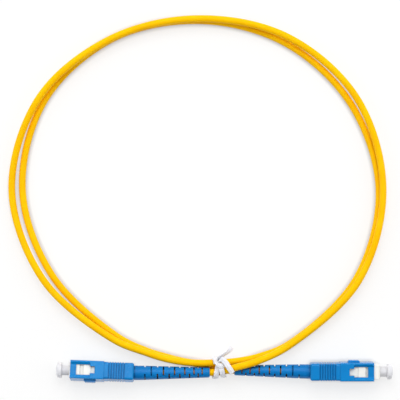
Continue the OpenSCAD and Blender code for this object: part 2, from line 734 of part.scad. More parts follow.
// A flat tail: short straight pieces between points.
module tie_tail(points) {
    for (i = [1 : len(points) - 1]) hull() for (p = [points[i - 1], points[i]])
        translate(p) scale([1, 1, 0.25]) sphere(d = tie_w, $fn = 12);
}

module bundle_tie() {
    color("#f2f4f8") union() {
        tie_turn(tie_x[0]);
        tie_turn(tie_x[1]);
        tie_tail(tie_knot);
        tie_tail(tie_tail_up);
        tie_tail(tie_tail_down);
    }
}

cable_jacket();
aramid_yarn();
optical_fibre();
bundle_tie();
place(left_place) translate([nose_out, 0, 0]) sleeve();  // left_sleeve
place(left_place) plug_frame();  // left_plug_frame
place(left_place) ferrule();  // left_ferrule
place(left_place) ferrule_flange();  // left_ferrule_flange
place(left_place) spring();  // left_spring
place(left_place) rear_body();  // left_rear_body
place(left_place) crimp_ring();  // left_crimp_ring
boot(left_place, 0);  // left_boot
place(left_place) dust_cap();  // left_dust_cap
place(right_place) translate([nose_out + sleeve_travel, 0, 0]) sleeve();  // right_sleeve
place(right_place) plug_frame();  // right_plug_frame
place(right_place) ferrule();  // right_ferrule
place(right_place) ferrule_flange();  // right_ferrule_flange
place(right_place) spring();  // right_spring
place(right_place) rear_body();  // right_rear_body
place(right_place) crimp_ring();  // right_crimp_ring
boot(right_place, right_boot_slip);  // right_boot
place(right_place) dust_cap();  // right_dust_cap

whole_line = centre_line(jacket_start);
echo(cable_length = line_length(whole_line), least_gap = least_gap(whole_line, jacket_d));
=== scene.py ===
# %% [markdown]
# # A fiber optic patch cord, laid in two turns and tied
#
# The cord is about one metre long from tip to tip: yellow cable, a blue push-pull plug with a
# slotted boot at each end, milky dust caps and a white twist tie. The plugs come from a CAD
# model, so their shapes are exact and only need finishes and soft edges. The cable and the tie
# are flexible, so they are modelled here.

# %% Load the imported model
import json
import math

import bmesh
import bpy
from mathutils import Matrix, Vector


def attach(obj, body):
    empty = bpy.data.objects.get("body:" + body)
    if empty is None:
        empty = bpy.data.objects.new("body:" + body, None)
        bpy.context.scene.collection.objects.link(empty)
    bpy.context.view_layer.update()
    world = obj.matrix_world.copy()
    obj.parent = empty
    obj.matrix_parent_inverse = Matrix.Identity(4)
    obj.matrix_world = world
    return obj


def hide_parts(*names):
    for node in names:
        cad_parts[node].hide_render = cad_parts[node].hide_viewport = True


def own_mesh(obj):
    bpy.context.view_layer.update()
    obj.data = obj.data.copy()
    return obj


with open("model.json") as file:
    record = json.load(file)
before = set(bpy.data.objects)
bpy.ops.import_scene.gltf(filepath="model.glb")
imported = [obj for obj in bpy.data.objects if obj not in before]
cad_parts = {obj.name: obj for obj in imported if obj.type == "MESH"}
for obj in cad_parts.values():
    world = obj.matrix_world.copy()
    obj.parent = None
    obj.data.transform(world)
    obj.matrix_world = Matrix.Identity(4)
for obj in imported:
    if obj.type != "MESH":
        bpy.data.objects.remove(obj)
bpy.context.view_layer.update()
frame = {"nodes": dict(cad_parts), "record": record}


# %% [markdown]
# ## Units and small helpers
#
# Blender works in metres here, while everything on a patch cord is measured in millimetres.
# So the script writes millimetres and turns them into metres in one place. Colours are written
# as the hex values that a paint or resin chart gives, and shader colours are linear, so one
# function converts them.

# %% Helpers for lengths and colours
MM = 0.001


def metres(point):
    """A point given in millimetres, as a vector in metres."""
    return Vector(point) * MM


def linear(hex_colour):
    """An sRGB hex colour as the linear RGBA that a shader takes."""
    channels = [int(hex_colour[i:i + 2], 16) / 255 for i in (1, 3, 5)]
    bent = [c / 12.92 if c <= 0.04045 else ((c + 0.055) / 1.055) ** 2.4 for c in channels]
    return (*bent, 1.0)


def repeats(size_mm):
    """The texture scale at which one repeat is size_mm long."""
    return 1 / (size_mm * MM)


print("white is", linear("#FFFFFF"), "and 2 mm repeats", repeats(2), "times a metre")

# %% [markdown]
# ## Camera
#
# A product picture of a coiled cord is taken from straight above. A long lens, far away, keeps
# the plugs free of perspective, so the whole ring looks like a plan. The picture is square and
# about 163 mm wide on the table.

# %% Camera
PICTURE_WIDTH = 162.6 * MM
CAMERA_HEIGHT = 860 * MM
LOOK_AT = metres((-9.9, 69.5, 0))

camera = bpy.data.objects.new("camera", bpy.data.cameras.new("camera"))
bpy.context.scene.collection.objects.link(camera)
camera.location = LOOK_AT + Vector((0, 0, CAMERA_HEIGHT))
camera.data.lens = camera.data.sensor_width * CAMERA_HEIGHT / PICTURE_WIDTH
camera.data.clip_end = 10
bpy.context.scene.camera = camera
bpy.context.scene.view_settings.view_transform = "Standard"
print("lens:", round(camera.data.lens, 1), "mm")

# %% [markdown]
# ## The cable's route
#
# The cable leaves the left boot, climbs over the right boot, goes round twice and dives under
# itself into the right boot. All of it could be placed point by point, but a formula keeps the
# wound turns even. Each turn is an oval with three soft corners and a few slight bulges, because
# a springy cable never lies in a true circle. The stretches that aren't wound are short lists of
# points. The numbers are in millimetres on the table's frame: X along the plugs, Z up.

# %% Route data in millimetres
JACKET_D = 2.8
REST_DISTANCE = 3.5           # between the centre lines where one turn rests on the other

# Each plug: the place of its nose, the slant of its axis, and the slant of its boot.
LEFT_PLUG = ((-62.6, 0.7, 5.0965), -2.2, 0.3)
RIGHT_PLUG = ((62.6, 0.15, 4.5), 180, 179)

# Stations along a plug, measured back from its nose.
BOOT_KNEE = 27.5              # the boot leans away from the plug's axis from here
JACKET_START = 28.8
CRIMP_END = 33.3
BOOT_END = 56.6
RIGHT_BOOT_SLIP = 2           # the right boot has slipped back on its cable

CORD_LEAD, CORD_HOLD = 0.2, 5  # the cable is straight to 0.2 mm inside each tip, for 5 mm

# Each turn: centre x, centre y, mean radius, oval, its angle, corners, their angle.
LOWER_TURN = (-9.6, 73.6, 70.8, 2.2, -25, 0.5, 36)
UPPER_TURN = (-10.3, 73.8, 72.4, 2.8, -8, 0.9, 50)
LOOP_ANGLES = range(-60, 241, 30)

# How far each turn bulges outwards at each of these angles. It is less than half a millimetre,
# so that the cable stays where the CAD's tube is.
LOWER_BULGE = (0.4, 0.25, 0.3, -0.3, 0, -0.25, -0.4, -0.4, 0, 0, 0)
UPPER_BULGE = (0.42, 0.42, 0.1, 0.2, 0.1, -0.25, -0.42, -0.4, 0.05, 0.3, 0.25)

# The stretches that aren't wound, in the order in which the cable runs through them: up from the
# left boot, over the plugs between the turns, and down to the right boot.
CROSS_UP = [
    (-3.6, -0.1, 5.45), (-1, 0.35, 6.5), (1.6, 1.15, 7.5),
    (4.6, 2.1, 8), (9, 3.2, 7.7), (14, 4.7, 6.7),
]
CROSS_OVER = [
    (-31.5, 7.75, 4.6), (-24.5, 5.55, 4.8), (-18, 4.25, 4.9), (-11, 3.6, 4.9), (-4, 3.7, 4.8),
    (2, 3.95, 4.1), (8, 4.65, 2.9), (14, 5.95, 1.9),
]
CROSS_UNDER = [
    (-31.5, 8.25, 1.4), (-24.5, 6.05, 1.4), (-18, 4.35, 1.4), (-12, 3.2, 1.4), (-6.5, 1.9, 1.6),
    (-1.5, 0.75, 2.8), (1.8, 0.55, 3.95),
]
print("points in each turn:", len(LOOP_ANGLES))

# %% The two turns
NEARBY = 15                   # degrees each way in which one turn looks for the other


def along(start, slant, distance):
    """The point at a distance from a start, on a level line with a slant in degrees."""
    a = math.radians(slant)
    return Vector(start) + Vector((distance * math.cos(a), distance * math.sin(a), 0))


def held_cable(plug, slip):
    """Five places on a plug's cable, in order.

    They are its start, the end of the crimp ring, both ends of the stretch that the boot holds
    straight, and the boot's tip.
    """
    nose, slant, boot_slant = plug
    knee = along(nose, slant, BOOT_KNEE)
    tip = along(knee, boot_slant, BOOT_END + slip - BOOT_KNEE)
    out = along(nose, slant, CRIMP_END)
    way = (tip - out).normalized()
    return [along(nose, slant, JACKET_START), out,
            tip - (CORD_LEAD + CORD_HOLD) * way, tip - CORD_LEAD * way, tip]


def turn_point(turn, angle, bulge=0):
    """A point of a turn, seen from above."""
    x, y, radius, oval, oval_at, corners, corners_at = turn
    r = (radius + oval * math.cos(math.radians(2 * (angle - oval_at)))
         + corners * math.cos(math.radians(3 * (angle - corners_at))) + bulge)
    a = math.radians(angle)
    return Vector((x + r * math.cos(a), y + r * math.sin(a)))


def lower_point(angle, bulge):
    """The lower turn lies on the table."""
    return Vector((*turn_point(LOWER_TURN, angle, bulge), JACKET_D / 2))


def upper_point(angle, bulge):
    """The upper turn rests on the lower one where the two are close."""
    apart = min((turn_point(UPPER_TURN, a) - turn_point(LOWER_TURN, a)).length
                for a in (angle - NEARBY, angle, angle + NEARBY))
    lift = math.sqrt(max(0, REST_DISTANCE ** 2 - apart ** 2))
    return Vector((*turn_point(UPPER_TURN, angle, bulge), JACKET_D / 2 + lift))


left_start, left_out, left_hold, left_bend, left_tip = held_cable(LEFT_PLUG, 0)
right_start, right_out, right_hold, right_bend, _ = held_cable(RIGHT_PLUG, RIGHT_BOOT_SLIP)
route = [
    left_hold, left_bend,
    *map(Vector, CROSS_UP), *map(upper_point, LOOP_ANGLES, UPPER_BULGE),
    *map(Vector, CROSS_OVER), *map(lower_point, LOOP_ANGLES, LOWER_BULGE),
    *map(Vector, CROSS_UNDER), right_bend, right_hold,
]
print("route points:", len(route))

# %% [markdown]
# ## The cable itself
#
# A bevelled curve is the simplest way to make a cable: one line with a round section swept
# along it. A smooth spline through the route's points gives that line. This one is a centripetal
# Catmull-Rom curve, which passes through every point and doesn't swing out between points
# that are close together. It is sampled finely, so that no bend shows corners.

# %% A smooth line through points


def smooth_through(a, b, c, d, t):
    """The point at part t of the way from b to c, on a smooth curve through all four.

    The curve passes a, b, c and d at ta, 0, tc and td, which are as far apart as the square
    roots of the distances between the points.
    """
    ta, tc = -math.sqrt((b - a).length), math.sqrt((c - b).length)
    td = tc + math.sqrt((d - c).length)
    s = t * tc
    ab, bc, cd = a.lerp(b, (s - ta) / -ta), b.lerp(c, s / tc), c.lerp(d, (s - tc) / (td - tc))
    return ab.lerp(bc, (s - ta) / (tc - ta)).lerp(bc.lerp(cd, s / td), s / tc)


def smooth_line(points, samples):
    """A dense line through all of the points but the first and last, which only steer it."""
    line = [smooth_through(*points[i - 1:i + 3], k / samples)
            for i in range(1, len(points) - 2) for k in range(samples)]
    return [*line, points[-2]]


SAMPLES = 24                  # from one point of the route to the next
cable_line = [left_start, left_out, left_hold]
# A smooth curve can dip a little between its points, so the cable is kept out of the table.
cable_line += [Vector((p.x, p.y, max(p.z, JACKET_D / 2))) for p in smooth_line(route, SAMPLES)]
cable_line += [right_hold, right_out, right_start]
cable_length = sum((b - a).length for a, b in zip(cable_line, cable_line[1:])) * MM
print("cable:", len(cable_line), "points,", round(cable_length, 4), "m")

# %% The cable as a bevelled curve
ROUND_SHOWN, ROUND_HIDDEN = 7, 3      # the bevel resolution of strands that show, and that don't


def round_strand(name, line, diameters, roundness, node):
    """One open spline through a line given in millimetres, with a round section, for a CAD node.

    The points carry the radius and the bevel is 1, so that the curve's box is right too.
    """
    data = bpy.data.curves.new(name, "CURVE")
    data.dimensions = "3D"
    data.bevel_depth = 1
    data.bevel_resolution = roundness
    data.use_fill_caps = True
    spline = data.splines.new("POLY")
    spline.points.add(len(line) - 1)
    for point, place, diameter in zip(spline.points, line, diameters):
        point.co = (*metres(place), 1)
        point.radius = diameter / 2 * MM
    spline.use_smooth = True
    piece = bpy.data.objects.new(name, data)
    bpy.context.scene.collection.objects.link(piece)
    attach(piece, "cord")
    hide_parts(node)
    return piece


cable = round_strand("cable", cable_line, [JACKET_D] * len(cable_line), ROUND_SHOWN,
                     "cable_jacket")
print("made", cable.name)

# %% [markdown]
# Inside the jacket are a buffered fibre and loose yarn round it. They follow the same fine line,
# so that they stay inside at every bend, and they reach on into the plugs: the yarn is folded
# back over each crimp stem, and the fibre goes on to the ferrule.

# %% The yarn and the fibre inside
YARN_D = 1.74                 # loose in the jacket's 2 mm bore
YARN_FOLDED_D = 4.5           # over a crimp stem
FIBRE_D = 0.9                 # with its buffer

# Stations along a plug, measured back from its nose, as above.
YARN_STATIONS = (21.5, 28.1)  # from the rear body's shoulder to the end of its stem
FIBRE_STATIONS = (11,)        # behind the ferrule when that is pushed in


def into_plugs(line, stations):
    """A line made longer at both ends, to these stations on the plugs' axes."""
    return [*(along(*LEFT_PLUG[:2], s) for s in stations), *line,
            *(along(*RIGHT_PLUG[:2], s) for s in reversed(stations))]


folded = [YARN_FOLDED_D] * len(YARN_STATIONS)
yarn = round_strand("yarn", into_plugs(cable_line, YARN_STATIONS),
                    folded + [YARN_D] * len(cable_line) + folded, ROUND_HIDDEN,
                    "aramid_yarn")
fibre_line = into_plugs(cable_line, FIBRE_STATIONS)
fibre = round_strand("fibre", fibre_line, [FIBRE_D] * len(fibre_line), ROUND_HIDDEN,
                     "optical_fibre")
print("made", yarn.name, "and", fibre.name)

# %% [markdown]
# ## The white tie
#
# The tie is a flat plastic strip with a wire core, so its section is a thin band with a round
# rib down the middle and finer ribs beside it. It goes twice round the three strands, and its
# ends are twisted once into a knot. A strip like this is made by sweeping its section along a
# line, but the strip also twists, so each point of the line has a direction for the strip's
# width. A small sweep of our own handles both.

# %% The strip's section and sweep
TIE_WIDTH = 2.15
TIE_THICK = 0.5
RIB_COUNT = 5
SECTION_STEPS = 24
EDGE_POWER = 6                # a higher one makes the strip's two edges blunter
CORE_WIDTH = 0.22             # the wire's rib, as a share of half the strip's width
# Heights as shares of half the thickness: the band, its ribs, and the wire above and below.
BAND, RIBS, CORE_ABOVE, CORE_BELOW = 0.62, 0.2, 0.5, 0.35


def strip_section():
    """The strip's outline: its width along x, its ribs standing up in y, in millimetres."""
    top, bottom = [], []
    for i in range(SECTION_STEPS + 1):
        x = -1 + 2 * i / SECTION_STEPS
        edge = math.sqrt(max(0.0, 1 - abs(x) ** EDGE_POWER))
        ribs = 0.5 + 0.5 * math.cos(math.pi * RIB_COUNT * x)
        core = math.exp(-(x / CORE_WIDTH) ** 2)
        half = TIE_THICK / 2 * edge
        top.append((x * TIE_WIDTH / 2, half * (BAND + RIBS * ribs + CORE_ABOVE * core)))
        bottom.append((x * TIE_WIDTH / 2, -half * (BAND + CORE_BELOW * core)))
    return top + bottom[-2:0:-1]


def sweep_strip(mesh, points, widths, samples=8):
    """Adds a strip to a bmesh, along points, with the strip's width pointing along widths."""
    padded = [points[0] * 2 - points[1], *points, points[-1] * 2 - points[-2]]
    turned = [widths[0], *widths, widths[-1]]
    line, across = [], []
    for i in range(1, len(padded) - 2):
        for k in range(samples):
            t = k / samples
            line.append(smooth_through(*padded[i - 1:i + 3], t))
            ease = t * t * (3 - 2 * t)
            across.append(turned[i].lerp(turned[i + 1], ease).normalized())
    line.append(points[-1])
    across.append(widths[-1].normalized())
    section = strip_section()
    rings = []
    for i, (place, side) in enumerate(zip(line, across)):
        ahead = (line[min(i + 1, len(line) - 1)] - line[max(i - 1, 0)]).normalized()
        side = (side - ahead * side.dot(ahead)).normalized()
        up = ahead.cross(side)
        rings.append([mesh.verts.new(metres(place + side * x + up * y)) for x, y in section])
    count = len(section)
    for near, far in zip(rings, rings[1:]):
        for k in range(count):
            n = (k + 1) % count
            mesh.faces.new((near[k], far[k], far[n], near[n]))
    mesh.faces.new(rings[0])
    mesh.faces.new(rings[-1][::-1])


print("section points:", len(strip_section()))

# %% [markdown]
# Each strip is a few listed points. The two loops hang a little slack under the strands, as such
# ties do, and lean towards the knot, where they turn on edge. The knot is one curl of the strip,
# and both tails start behind it. Each point has its place in millimetres and the direction of
# the strip's width there.

# %% The strip's five stretches
LOOP_A = [
    ((-2.9, 3.6, 7.35), (0.5, 0.5, 0.7)), ((-3.0, 1.6, 7.6), (0.8, 0.1, 0.5)),
    ((-3.2, -0.6, 7.3), (1, 0, 0.15)), ((-3.5, -2.1, 6.2), (1, 0, 0)),
    ((-3.75, -2.65, 4.5), (1, 0, 0)), ((-3.85, -2.2, 2.7), (1, 0, 0)),
    ((-3.8, -0.9, 1.2), (1, 0.1, 0)), ((-3.6, 0.9, 0.45), (1, 0.1, 0)),
    ((-3.5, 2.9, 0.75), (1, 0, 0)), ((-3.4, 4.9, 2.2), (1, 0, 0)),
    ((-3.5, 5.9, 4.0), (1, 0, 0)), ((-3.7, 5.95, 5.6), (1, 0, 0)),
    ((-3.7, 5.0, 6.9), (1, 0.1, 0)), ((-3.3, 3.6, 7.7), (1, 0.3, 0)),
]
LOOP_B = [
    ((-1.5, 2.7, 8.3), (0.9, 0.1, 0.3)), ((-1.2, 1.3, 8.75), (1, 0, 0.1)),
    ((-0.8, -0.5, 8.2), (1, 0, 0)), ((-0.4, -1.75, 6.6), (1, 0.1, 0)),
    ((-0.2, -2.1, 4.6), (1, 0.1, 0)), ((-0.3, -1.8, 2.8), (1, 0.1, 0)),
    ((-0.5, -0.8, 1.4), (1, 0, 0)), ((-0.7, 0.9, 0.8), (1, 0, 0)),
    ((-0.8, 3.1, 1.1), (1, 0, 0)), ((-0.9, 5.0, 2.4), (1, 0, 0)),
    ((-1.1, 6.0, 4.2), (1, 0, 0)), ((-1.5, 5.8, 5.9), (1, -0.1, 0)),
    ((-1.9, 5.0, 7.2), (1, -0.2, 0)), ((-1.9, 4.2, 7.9), (1, -0.2, 0)),
]
CURL = [
    ((-4.1, 6.0, 5.9), (0.9, -0.2, 0.3)), ((-3.7, 5.2, 7.2), (0.85, 0.5, 0.1)),
    ((-3.0, 4.2, 8.2), (0.8, 0.6, 0.1)), ((-2.3, 3.2, 8.8), (0.7, 0.7, 0.2)),
    ((-1.4, 2.75, 9.1), (0.2, 1, 0.2)), ((-0.5, 3.1, 9.1), (-0.4, 0.9, 0.3)),
    ((-0.3, 4.0, 8.8), (-0.8, 0.3, 0.5)), ((-0.9, 4.8, 8.3), (-0.6, -0.6, 0.5)),
]
TAIL_DOWN = [
    ((-2.6, 4.3, 7.9), (0.3, 1, 0.1)), ((-1.9, 5.3, 8.6), (0.6, 0.8, 0)),
    ((-0.9, 5.4, 9.3), (0.75, 0.65, 0.1)), ((0.3, 4.3, 9.7), (0.85, 0.5, 0)),
    ((1.3, 2.8, 9.85), (0.85, 0.5, 0)), ((2.3, 1.3, 9.8), (0.85, 0.5, 0)),
    ((3.2, -0.1, 9.5), (0.85, 0.5, 0)),
]
TAIL_UP = [
    ((-3.0, 4.9, 7.6), (0.6, 0.2, 0.6)), ((-1.9, 6.1, 8.2), (-0.3, 0.7, 0.6)),
    ((-0.4, 7.2, 8.2), (-0.3, 0.5, 0.8)), ((1.0, 8.1, 7.9), (-0.4, 0.6, 0.7)),
    ((2.1, 9.1, 7.4), (-0.7, 0.5, 0.5)), ((2.8, 10.2, 6.9), (-0.8, 0.4, 0.3)),
]

tie_mesh = bmesh.new()
for stretch in (LOOP_A, LOOP_B, CURL, TAIL_DOWN, TAIL_UP):
    sweep_strip(tie_mesh, [Vector(p) for p, _ in stretch], [Vector(w) for _, w in stretch])
bmesh.ops.recalc_face_normals(tie_mesh, faces=tie_mesh.faces)
tie_data = bpy.data.meshes.new("bundle_tie_strip")
tie_mesh.to_mesh(tie_data)
tie_mesh.free()
tie_data.shade_smooth()
tie = bpy.data.objects.new("tie_strip", tie_data)
bpy.context.scene.collection.objects.link(tie)
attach(tie, "cord")
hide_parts("bundle_tie")
print("tie faces:", len(tie_data.polygons))

# %% [markdown]
# The cable starts at the left boot's tip and goes back into the object at the right plug, and
# its real length is worked out with its line. The tie, the yarn and the fibre are pieces on it.

print("cord leaves at", [round(v, 2) for v in left_tip])

# %% [markdown]
# ## Building materials
#
# Each finish is one Principled shader with a few nodes in front of it. A helper adds a node,
# sets it up and links it. Another starts a material and sets the plain numbers straight on the
# shader's sockets. Every pattern follows Object coordinates, so that it stays on its piece and
# has a size in millimetres.

# %% Material helpers


def add(tree, kind, settings=None, inputs=None):
    """Adds a node, sets its properties, and sets or links its inputs."""
    node = tree.nodes.new("ShaderNode" + kind)
    for name, value in (settings or {}).items():
        setattr(node, name, value)
    for name, value in (inputs or {}).items():
        if isinstance(value, bpy.types.NodeSocket):
            tree.links.new(value, node.inputs[name])
        else:
            node.inputs[name].default_value = value
    return node


def start_finish(name, sockets):
    """A new material: its node tree, its shader and the place on the piece."""
    finish = bpy.data.materials.new(name)
    finish.use_nodes = True
    tree = finish.node_tree
    shader = tree.nodes["Principled BSDF"]
    for socket, value in sockets.items():
        shader.inputs[socket].default_value = value
    place = add(tree, "TexCoord").outputs["Object"]
    return finish, tree, shader, place


print("ready to make finishes")

# %% [markdown]
# ## Moulded and extruded plastics
#
# All the plastics here come from the same few steps of nodes: the resin's tone drifts a little
# over some millimetres, the gloss is uneven where the melt cooled at its own pace, and the
# surface has the grain of its mould or die. One function makes them, and each finish gives it
# its own tones, gloss and grain. Real grain is finer than a tenth of a millimetre, so it is
# drawn as coarse as it needs to show.
#
# Two more nodes read the shape itself. Ambient Occlusion says how open a place is, and the colour
# is painted darker in slots and creases: a painted shade, on top of the shade that the light casts
# there. Bevel rounds the shading at sharp edges, so that they catch the light as moulded edges do.
# Modelled fillets would do the same, but the plugs' meshes are the CAD model's and stay as they
# are.

# %% A plastic's tone, gloss and grain
NOISE_LOW, NOISE_HIGH = 0.3, 0.7      # nearly all of a noise texture lies between these
CREASE, OPEN = 0.2, 0.85              # how open a place is where the painted shade is full, and where there is none
SHAPE_SAMPLES = 8                     # rays with which a node reads the shape


def plastic(name, sockets, tones, painted_shade, shade_reach_mm, drift_mm, gloss, patch_mm, grain_mm,
            grain_depth_mm, edge_mm=None):
    """A plastic. tones and gloss are pairs: the colour and the roughness move between them.

    The colour after the tones is painted shade: Ambient Occlusion moves the base colour towards
    it in slots and creases about as wide as the reach after it, in mm. edge_mm is the radius to
    which sharp edges are shaded, as no mould leaves them sharp. drift_mm, patch_mm and grain_mm
    are the sizes of a change in tone, a patch of gloss and a grain of the surface.
    """
    finish, tree, shader, place = start_finish(name, sockets)
    drift = add(tree, "TexNoise", inputs={
        "Vector": place, "Scale": repeats(drift_mm), "Detail": 2.0})
    share = add(tree, "MapRange", inputs={
        "Value": drift.outputs["Fac"], "From Min": NOISE_LOW, "From Max": NOISE_HIGH})
    tone = add(tree, "Mix", {"data_type": "RGBA"}, {
        0: share.outputs["Result"], 6: linear(tones[0]), 7: linear(tones[1])})
    # Painted shade: where Ambient Occlusion finds a slot, crease or contact, the base colour is
    # mixed towards the darker shade colour.
    openness = add(tree, "AmbientOcclusion", {"samples": SHAPE_SAMPLES}, {"Distance": shade_reach_mm * MM})
    reached = add(tree, "MapRange", inputs={
        "Value": openness.outputs["AO"], "From Min": CREASE, "From Max": OPEN})
    shaded = add(tree, "Mix", {"data_type": "RGBA"}, {
        0: reached.outputs["Result"], 6: linear(painted_shade), 7: tone.outputs[2]})
    patches = add(tree, "TexNoise", inputs={
        "Vector": place, "Scale": repeats(patch_mm), "Detail": 2.0})
    roughness = add(tree, "MapRange", inputs={
        "Value": patches.outputs["Fac"], "From Min": NOISE_LOW, "From Max": NOISE_HIGH,
        "To Min": gloss[0], "To Max": gloss[1]})
    grain = add(tree, "TexNoise", inputs={
        "Vector": place, "Scale": repeats(grain_mm), "Detail": 1.0})
    bump = add(tree, "Bump", inputs={
        "Height": grain.outputs["Fac"], "Distance": grain_depth_mm * MM})
    if edge_mm:
        rounding = add(tree, "Bevel", {"samples": SHAPE_SAMPLES}, {"Radius": edge_mm * MM})
        tree.links.new(rounding.outputs["Normal"], bump.inputs["Normal"])
    tree.links.new(shaded.outputs[2], shader.inputs["Base Color"])
    tree.links.new(roughness.outputs["Result"], shader.inputs["Roughness"])
    tree.links.new(bump.outputs["Normal"], shader.inputs["Normal"])
    return finish


print("noise is stretched from", NOISE_LOW, "to", NOISE_HIGH)

# %% [markdown]
# ### Jacket, sleeve and boot
#
# The jacket is soft PVC, pushed hot through a round die and cooled in a trough of water: solid
# colour all through, with a satin skin and no sharp lights. The sleeve is PBT from a polished
# mould, the glossiest plastic here. The boot is a rubbery TPE, so that it can flex, and its gloss
# is softer. Each has a painted shade in its creases: orange-brown where the cable's strands touch
# and inside the boots, a darker blue in the sleeve's grooves, nearly black in the boot's narrow,
# sunken slots.

# %% Coloured plastics
# Each finish's third colour is painted shade for its creases, slots and the places where strands
# touch.
extruded_pvc = plastic(
    "extruded_pvc_yellow",
    {"IOR": 1.53, "Specular IOR Level": 0.06},
    tones=("#FDBE00", "#FFC805"), painted_shade="#A46400", shade_reach_mm=1.3, drift_mm=9,
    gloss=(0.36, 0.47), patch_mm=2.5, grain_mm=0.5, grain_depth_mm=0.012)

polished_pbt = plastic(
    "moulded_pbt_blue",
    {"IOR": 1.53, "Specular IOR Level": 0.4},
    tones=("#007CC4", "#0383CC"), painted_shade="#006AB0", shade_reach_mm=0.7, drift_mm=6,
    gloss=(0.2, 0.28), patch_mm=1.2, grain_mm=0.3, grain_depth_mm=0.006, edge_mm=0.3)

moulded_tpe = plastic(
    "moulded_tpe_blue",
    {"IOR": 1.5, "Specular IOR Level": 0.3},
    tones=("#0072BC", "#0379C3"), painted_shade="#001630", shade_reach_mm=2.2, drift_mm=5,
    gloss=(0.27, 0.36), patch_mm=1, grain_mm=0.35, grain_depth_mm=0.008, edge_mm=0.2)
print(extruded_pvc.name, polished_pbt.name, moulded_tpe.name)

# %% [markdown]
# ### Natural and milky plastics
#
# The frame is PBT without pigment, a warm off-white. The dust caps are low density
# polyethylene, which is milky: light goes in, scatters and comes out again, and the nose of the
# frame shows faintly through the thin neck. The tie is soft polyethylene, drawn through a ribbed
# die. Its white pigment hides more, and its thin edges still let some light through.

# %% White plastics
# Here too the third colour is painted shade, a greyer white in creases and hollows.
natural_pbt = plastic(
    "moulded_pbt_natural",
    {"IOR": 1.5, "Subsurface Weight": 0.25, "Subsurface Radius": (1.0, 0.95, 0.8),
     "Subsurface Scale": 0.8 * MM},
    tones=("#EEEDE7", "#F5F4EF"), painted_shade="#B9B8B0", shade_reach_mm=0.8, drift_mm=3,
    gloss=(0.3, 0.42), patch_mm=1, grain_mm=0.3, grain_depth_mm=0.006, edge_mm=0.2)

milky_ldpe = plastic(
    "milky_ldpe",
    {"IOR": 1.51, "Transmission Weight": 0.2, "Subsurface Weight": 0.5,
     "Subsurface Radius": (1.0, 1.0, 1.0), "Subsurface Scale": 1.2 * MM},
    tones=("#E5E5EA", "#F0F0F4"), painted_shade="#C4C4CC", shade_reach_mm=0.6, drift_mm=2.5,
    gloss=(0.32, 0.45), patch_mm=0.8, grain_mm=0.3, grain_depth_mm=0.006, edge_mm=0.3)

white_pe = plastic(
    "soft_white_pe",
    {"IOR": 1.51, "Subsurface Weight": 0.3, "Subsurface Radius": (1.0, 1.0, 1.0),
     "Subsurface Scale": 0.5 * MM},
    tones=("#E2E4EC", "#EDEEF4"), painted_shade="#84858C", shade_reach_mm=1, drift_mm=2,
    gloss=(0.28, 0.4), patch_mm=0.7, grain_mm=0.25, grain_depth_mm=0.006)
print(natural_pbt.name, milky_ldpe.name, white_pe.name)

# %% [markdown]
# ### Ceramic and metals
#
# The ferrule is zirconia, a dense white ceramic, ground and polished until it is glossy: that
# and its high index make its reflections bright. The steps for a plastic suit it too, with
# hardly any grain. Its collar is turned stainless steel, the spring is drawn steel wire, the
# rear body is brass with a nickel plate, which is whiter, and the crimp ring is plain brass. A
# lathe leaves fine rings round the axis, which spread each light into a band across them. They
# are 0.02 mm apart and drawn at 0.2 mm.

# %% Ceramic and metals
# Its third colour is painted shade in the ferrule's hollows.
polished_zirconia = plastic(
    "polished_zirconia",
    {"IOR": 2.15, "Subsurface Weight": 0.15, "Subsurface Radius": (1.0, 0.95, 0.85),
     "Subsurface Scale": 0.3 * MM},
    tones=("#F0EEE6", "#F7F5EF"), painted_shade="#C4C2B8", shade_reach_mm=0.5, drift_mm=1.5,
    gloss=(0.08, 0.16), patch_mm=0.5, grain_mm=0.2, grain_depth_mm=0.001)

LATHE_RINGS_MM = 0.2          # from one ring to the next, as drawn
RING_DEPTH_MM = 0.003
RING_GLOSS = 0.06             # how far the roughness of a ring's two flanks is from the mean
STAIN_MM = 1.0                # a patch of a slightly different tone
WAVES_PER_UNIT = 20 / math.tau      # a wave texture of scale 1 has this many bands in one unit


def turned_metal(name, tones, roughness):
    """A lathe-turned metal: rings across X, bright on one flank and dull on the other."""
    finish, tree, shader, place = start_finish(name, {"Metallic": 1.0})
    stain = add(tree, "TexNoise", inputs={
        "Vector": place, "Scale": repeats(STAIN_MM), "Detail": 2.0})
    tone = add(tree, "Mix", {"data_type": "RGBA"}, {
        0: stain.outputs["Fac"], 6: linear(tones[0]), 7: linear(tones[1])})
    rings = add(tree, "TexWave", {"bands_direction": "X"}, {
        "Vector": place, "Scale": repeats(LATHE_RINGS_MM) / WAVES_PER_UNIT, "Distortion": 0.4})
    dulled = add(tree, "MapRange", inputs={
        "Value": rings.outputs["Fac"],
        "To Min": roughness - RING_GLOSS, "To Max": roughness + RING_GLOSS})
    bump = add(tree, "Bump", inputs={
        "Height": rings.outputs["Fac"], "Distance": RING_DEPTH_MM * MM})
    tree.links.new(tone.outputs[2], shader.inputs["Base Color"])
    tree.links.new(dulled.outputs["Result"], shader.inputs["Roughness"])
    tree.links.new(bump.outputs["Normal"], shader.inputs["Normal"])
    return finish


stainless_steel = turned_metal("turned_stainless_steel", ("#B4B6B8", "#C6C8CA"), 0.28)
nickel_plate = turned_metal("nickel_plated_brass", ("#C5C2B8", "#D6D3CA"), 0.25)
crimped_brass = turned_metal("crimped_brass", ("#B9A87C", "#CDBD90"), 0.34)
drawn_wire = turned_metal("drawn_steel_wire", ("#8E9094", "#A9ABAF"), 0.32)
print(stainless_steel.name, nickel_plate.name, crimped_brass.name, drawn_wire.name)

# %% [markdown]
# ### Yarn and fibre
#
# Round the fibre lies loose aramid yarn, straw-yellow threads about a hundredth of a millimetre
# thick, drawn as streaks of 0.2 mm. Light off their sides gives them a faint sheen. The fibre
# has a tight nylon buffer, drawn off smooth with faint streaks along it. The streaks run along
# X, as the cable does where it enters the plugs.

# %% Yarn and fibre
STREAK_LENGTH = 12            # times its width
STREAK_DEPTH_MM = 0.02


